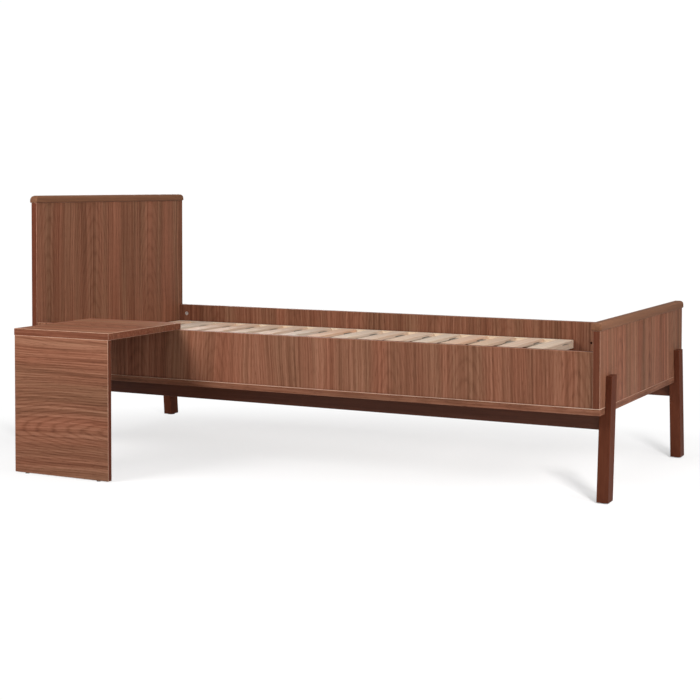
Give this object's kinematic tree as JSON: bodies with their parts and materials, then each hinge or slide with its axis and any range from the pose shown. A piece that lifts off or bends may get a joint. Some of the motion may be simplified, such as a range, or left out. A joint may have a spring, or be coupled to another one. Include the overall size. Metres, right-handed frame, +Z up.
{
  "type": "single panel bed with side table",
  "caption": "Walnut-look single bed with a high headboard, low footboard, splayed legs, a lift-out slatted base and a hook-on side table that slides along one side.",
  "frame": {"origin": "on the floor, at the centre of the box round the bed and its side table at rest", "axes": "+X along the bed towards the foot, +Y across the bed away from the side table, +Z up"},
  "size_m": [2.09, 1.342, 0.891],
  "materials": {
    "walnut_veneer": "satin wood-grain veneer on board",
    "cap_wood": "satin lacquered solid wood",
    "leg_wood": "satin dark stained solid wood",
    "pine": "raw planed pine",
    "beech": "raw beech",
    "webbing": "woven tape",
    "zinc_steel": "zinc plated",
    "brass": "plain",
    "glide_plastic": "matt"
  },
  "bodies": {
    "bed_frame": {"head_panel": "walnut_veneer", "head_cap": "cap_wood", "foot_panel": "walnut_veneer", "foot_cap": "cap_wood", "side_panel_near": "walnut_veneer", "side_panel_far": "walnut_veneer", "base_board_near": "walnut_veneer", "base_board_far": "walnut_veneer", "base_board_head": "walnut_veneer", "base_board_foot": "walnut_veneer", "leg_head_near": "leg_wood", "leg_head_far": "leg_wood", "leg_foot_near": "leg_wood", "leg_foot_far": "leg_wood", "rail_near": "leg_wood", "rail_far": "leg_wood", "slat_cleat_near": "walnut_veneer", "slat_cleat_far": "walnut_veneer", "cam_locks": "zinc_steel", "cam_bolts": "zinc_steel", "side_dowels": "beech", "cap_dowels": "beech", "base_dowels": "beech", "leg_bolts": "zinc_steel", "leg_inserts": "brass", "rail_dowels": "beech", "base_board_screws": "zinc_steel", "cleat_screws": "zinc_steel", "leg_glides": "glide_plastic"},
    "slatted_base": {"slat_01": "pine", "slat_02": "pine", "slat_03": "pine", "slat_04": "pine", "slat_05": "pine", "slat_06": "pine", "slat_07": "pine", "slat_08": "pine", "slat_09": "pine", "slat_10": "pine", "slat_11": "pine", "slat_12": "pine", "slat_13": "pine", "slat_14": "pine", "slat_15": "pine", "slat_16": "pine", "slat_runner_near": "pine", "slat_runner_far": "pine", "slat_end_batten_head": "pine", "slat_end_batten_foot": "pine", "webbing_strap_near": "webbing", "webbing_strap_far": "webbing", "slat_screws": "zinc_steel"},
    "side_table": {"table_top": "walnut_veneer", "table_end_panel": "walnut_veneer", "table_hooks": "zinc_steel", "hook_screws": "zinc_steel", "table_cam_locks": "zinc_steel", "table_cam_bolts": "zinc_steel", "table_dowels": "beech", "table_glides": "glide_plastic"}
  },
  "joints": [
    {"name": "base_lift", "type": "slide", "parent": "bed_frame", "child": "slatted_base", "axis": [0, 0, 1], "range_m": [0, 0.3]},
    {"name": "table_slide", "type": "slide", "parent": "bed_frame", "child": "side_table", "axis": [1, 0, 0], "range_m": [-0.212, 1.424]}
  ]
}
